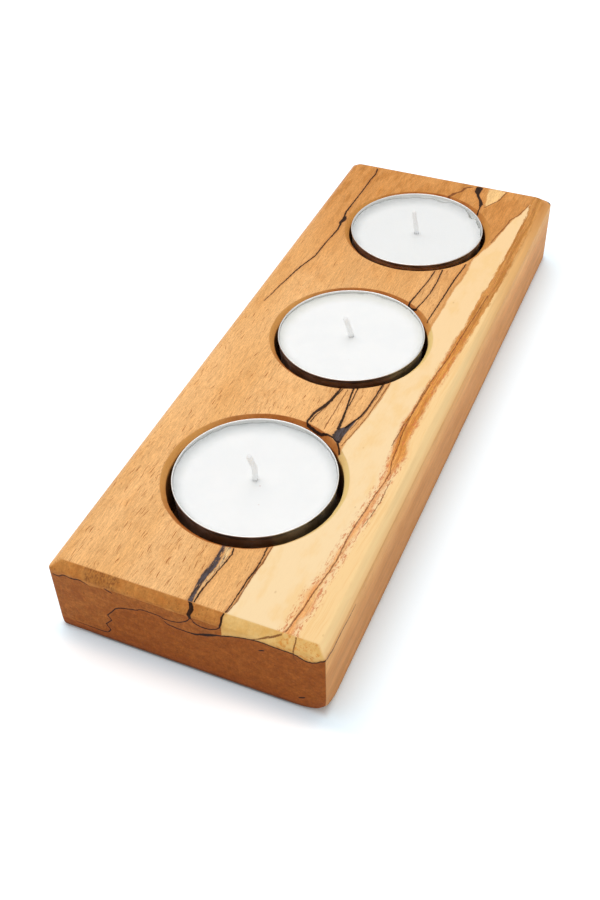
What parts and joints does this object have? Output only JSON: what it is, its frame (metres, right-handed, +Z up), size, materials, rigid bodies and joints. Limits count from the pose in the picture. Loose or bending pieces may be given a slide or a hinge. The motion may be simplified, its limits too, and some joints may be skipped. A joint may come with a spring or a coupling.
{
  "type": "advent candle holder",
  "caption": "Long rectangular wooden block with chamfered edges and a row of blind round bores that hold lift-out tealights in aluminium cups.",
  "frame": {"origin": "middle of the flat underside of the block", "axes": "+X across the block, +Y along the row of tealights, +Z up out of the bores"},
  "size_m": [0.0644, 0.182, 0.0284],
  "materials": {
    "spalted_beech": "oiled satin",
    "cup_aluminium": "bright drawn",
    "paraffin_wax": "smooth wax",
    "waxed_cotton": "braided and waxed",
    "tinplate": "bright"
  },
  "bodies": {
    "holder": {"holder_block": "spalted_beech"},
    "tealight_cup_1": {"cup_1": "cup_aluminium"},
    "tealight_cup_2": {"cup_2": "cup_aluminium"},
    "tealight_cup_3": {"cup_3": "cup_aluminium"},
    "candle_1": {"wax_1": "paraffin_wax", "wick_1": "waxed_cotton", "wick_sustainer_1": "tinplate"},
    "candle_2": {"wax_2": "paraffin_wax", "wick_2": "waxed_cotton", "wick_sustainer_2": "tinplate"},
    "candle_3": {"wax_3": "paraffin_wax", "wick_3": "waxed_cotton", "wick_sustainer_3": "tinplate"}
  },
  "joints": [
    {"name": "tealight_1_lift", "type": "slide", "parent": "holder", "child": "tealight_cup_1", "axis": [0, 0, 1], "range_m": [0, 0.02]},
    {"name": "tealight_2_lift", "type": "slide", "parent": "holder", "child": "tealight_cup_2", "axis": [0, 0, 1], "range_m": [0, 0.02]},
    {"name": "tealight_3_lift", "type": "slide", "parent": "holder", "child": "tealight_cup_3", "axis": [0, 0, 1], "range_m": [0, 0.02]},
    {"name": "candle_1_lift", "type": "slide", "parent": "tealight_cup_1", "child": "candle_1", "axis": [0, 0, 1], "range_m": [0, 0.018]},
    {"name": "candle_2_lift", "type": "slide", "parent": "tealight_cup_2", "child": "candle_2", "axis": [0, 0, 1], "range_m": [0, 0.018]},
    {"name": "candle_3_lift", "type": "slide", "parent": "tealight_cup_3", "child": "candle_3", "axis": [0, 0, 1], "range_m": [0, 0.018]}
  ]
}
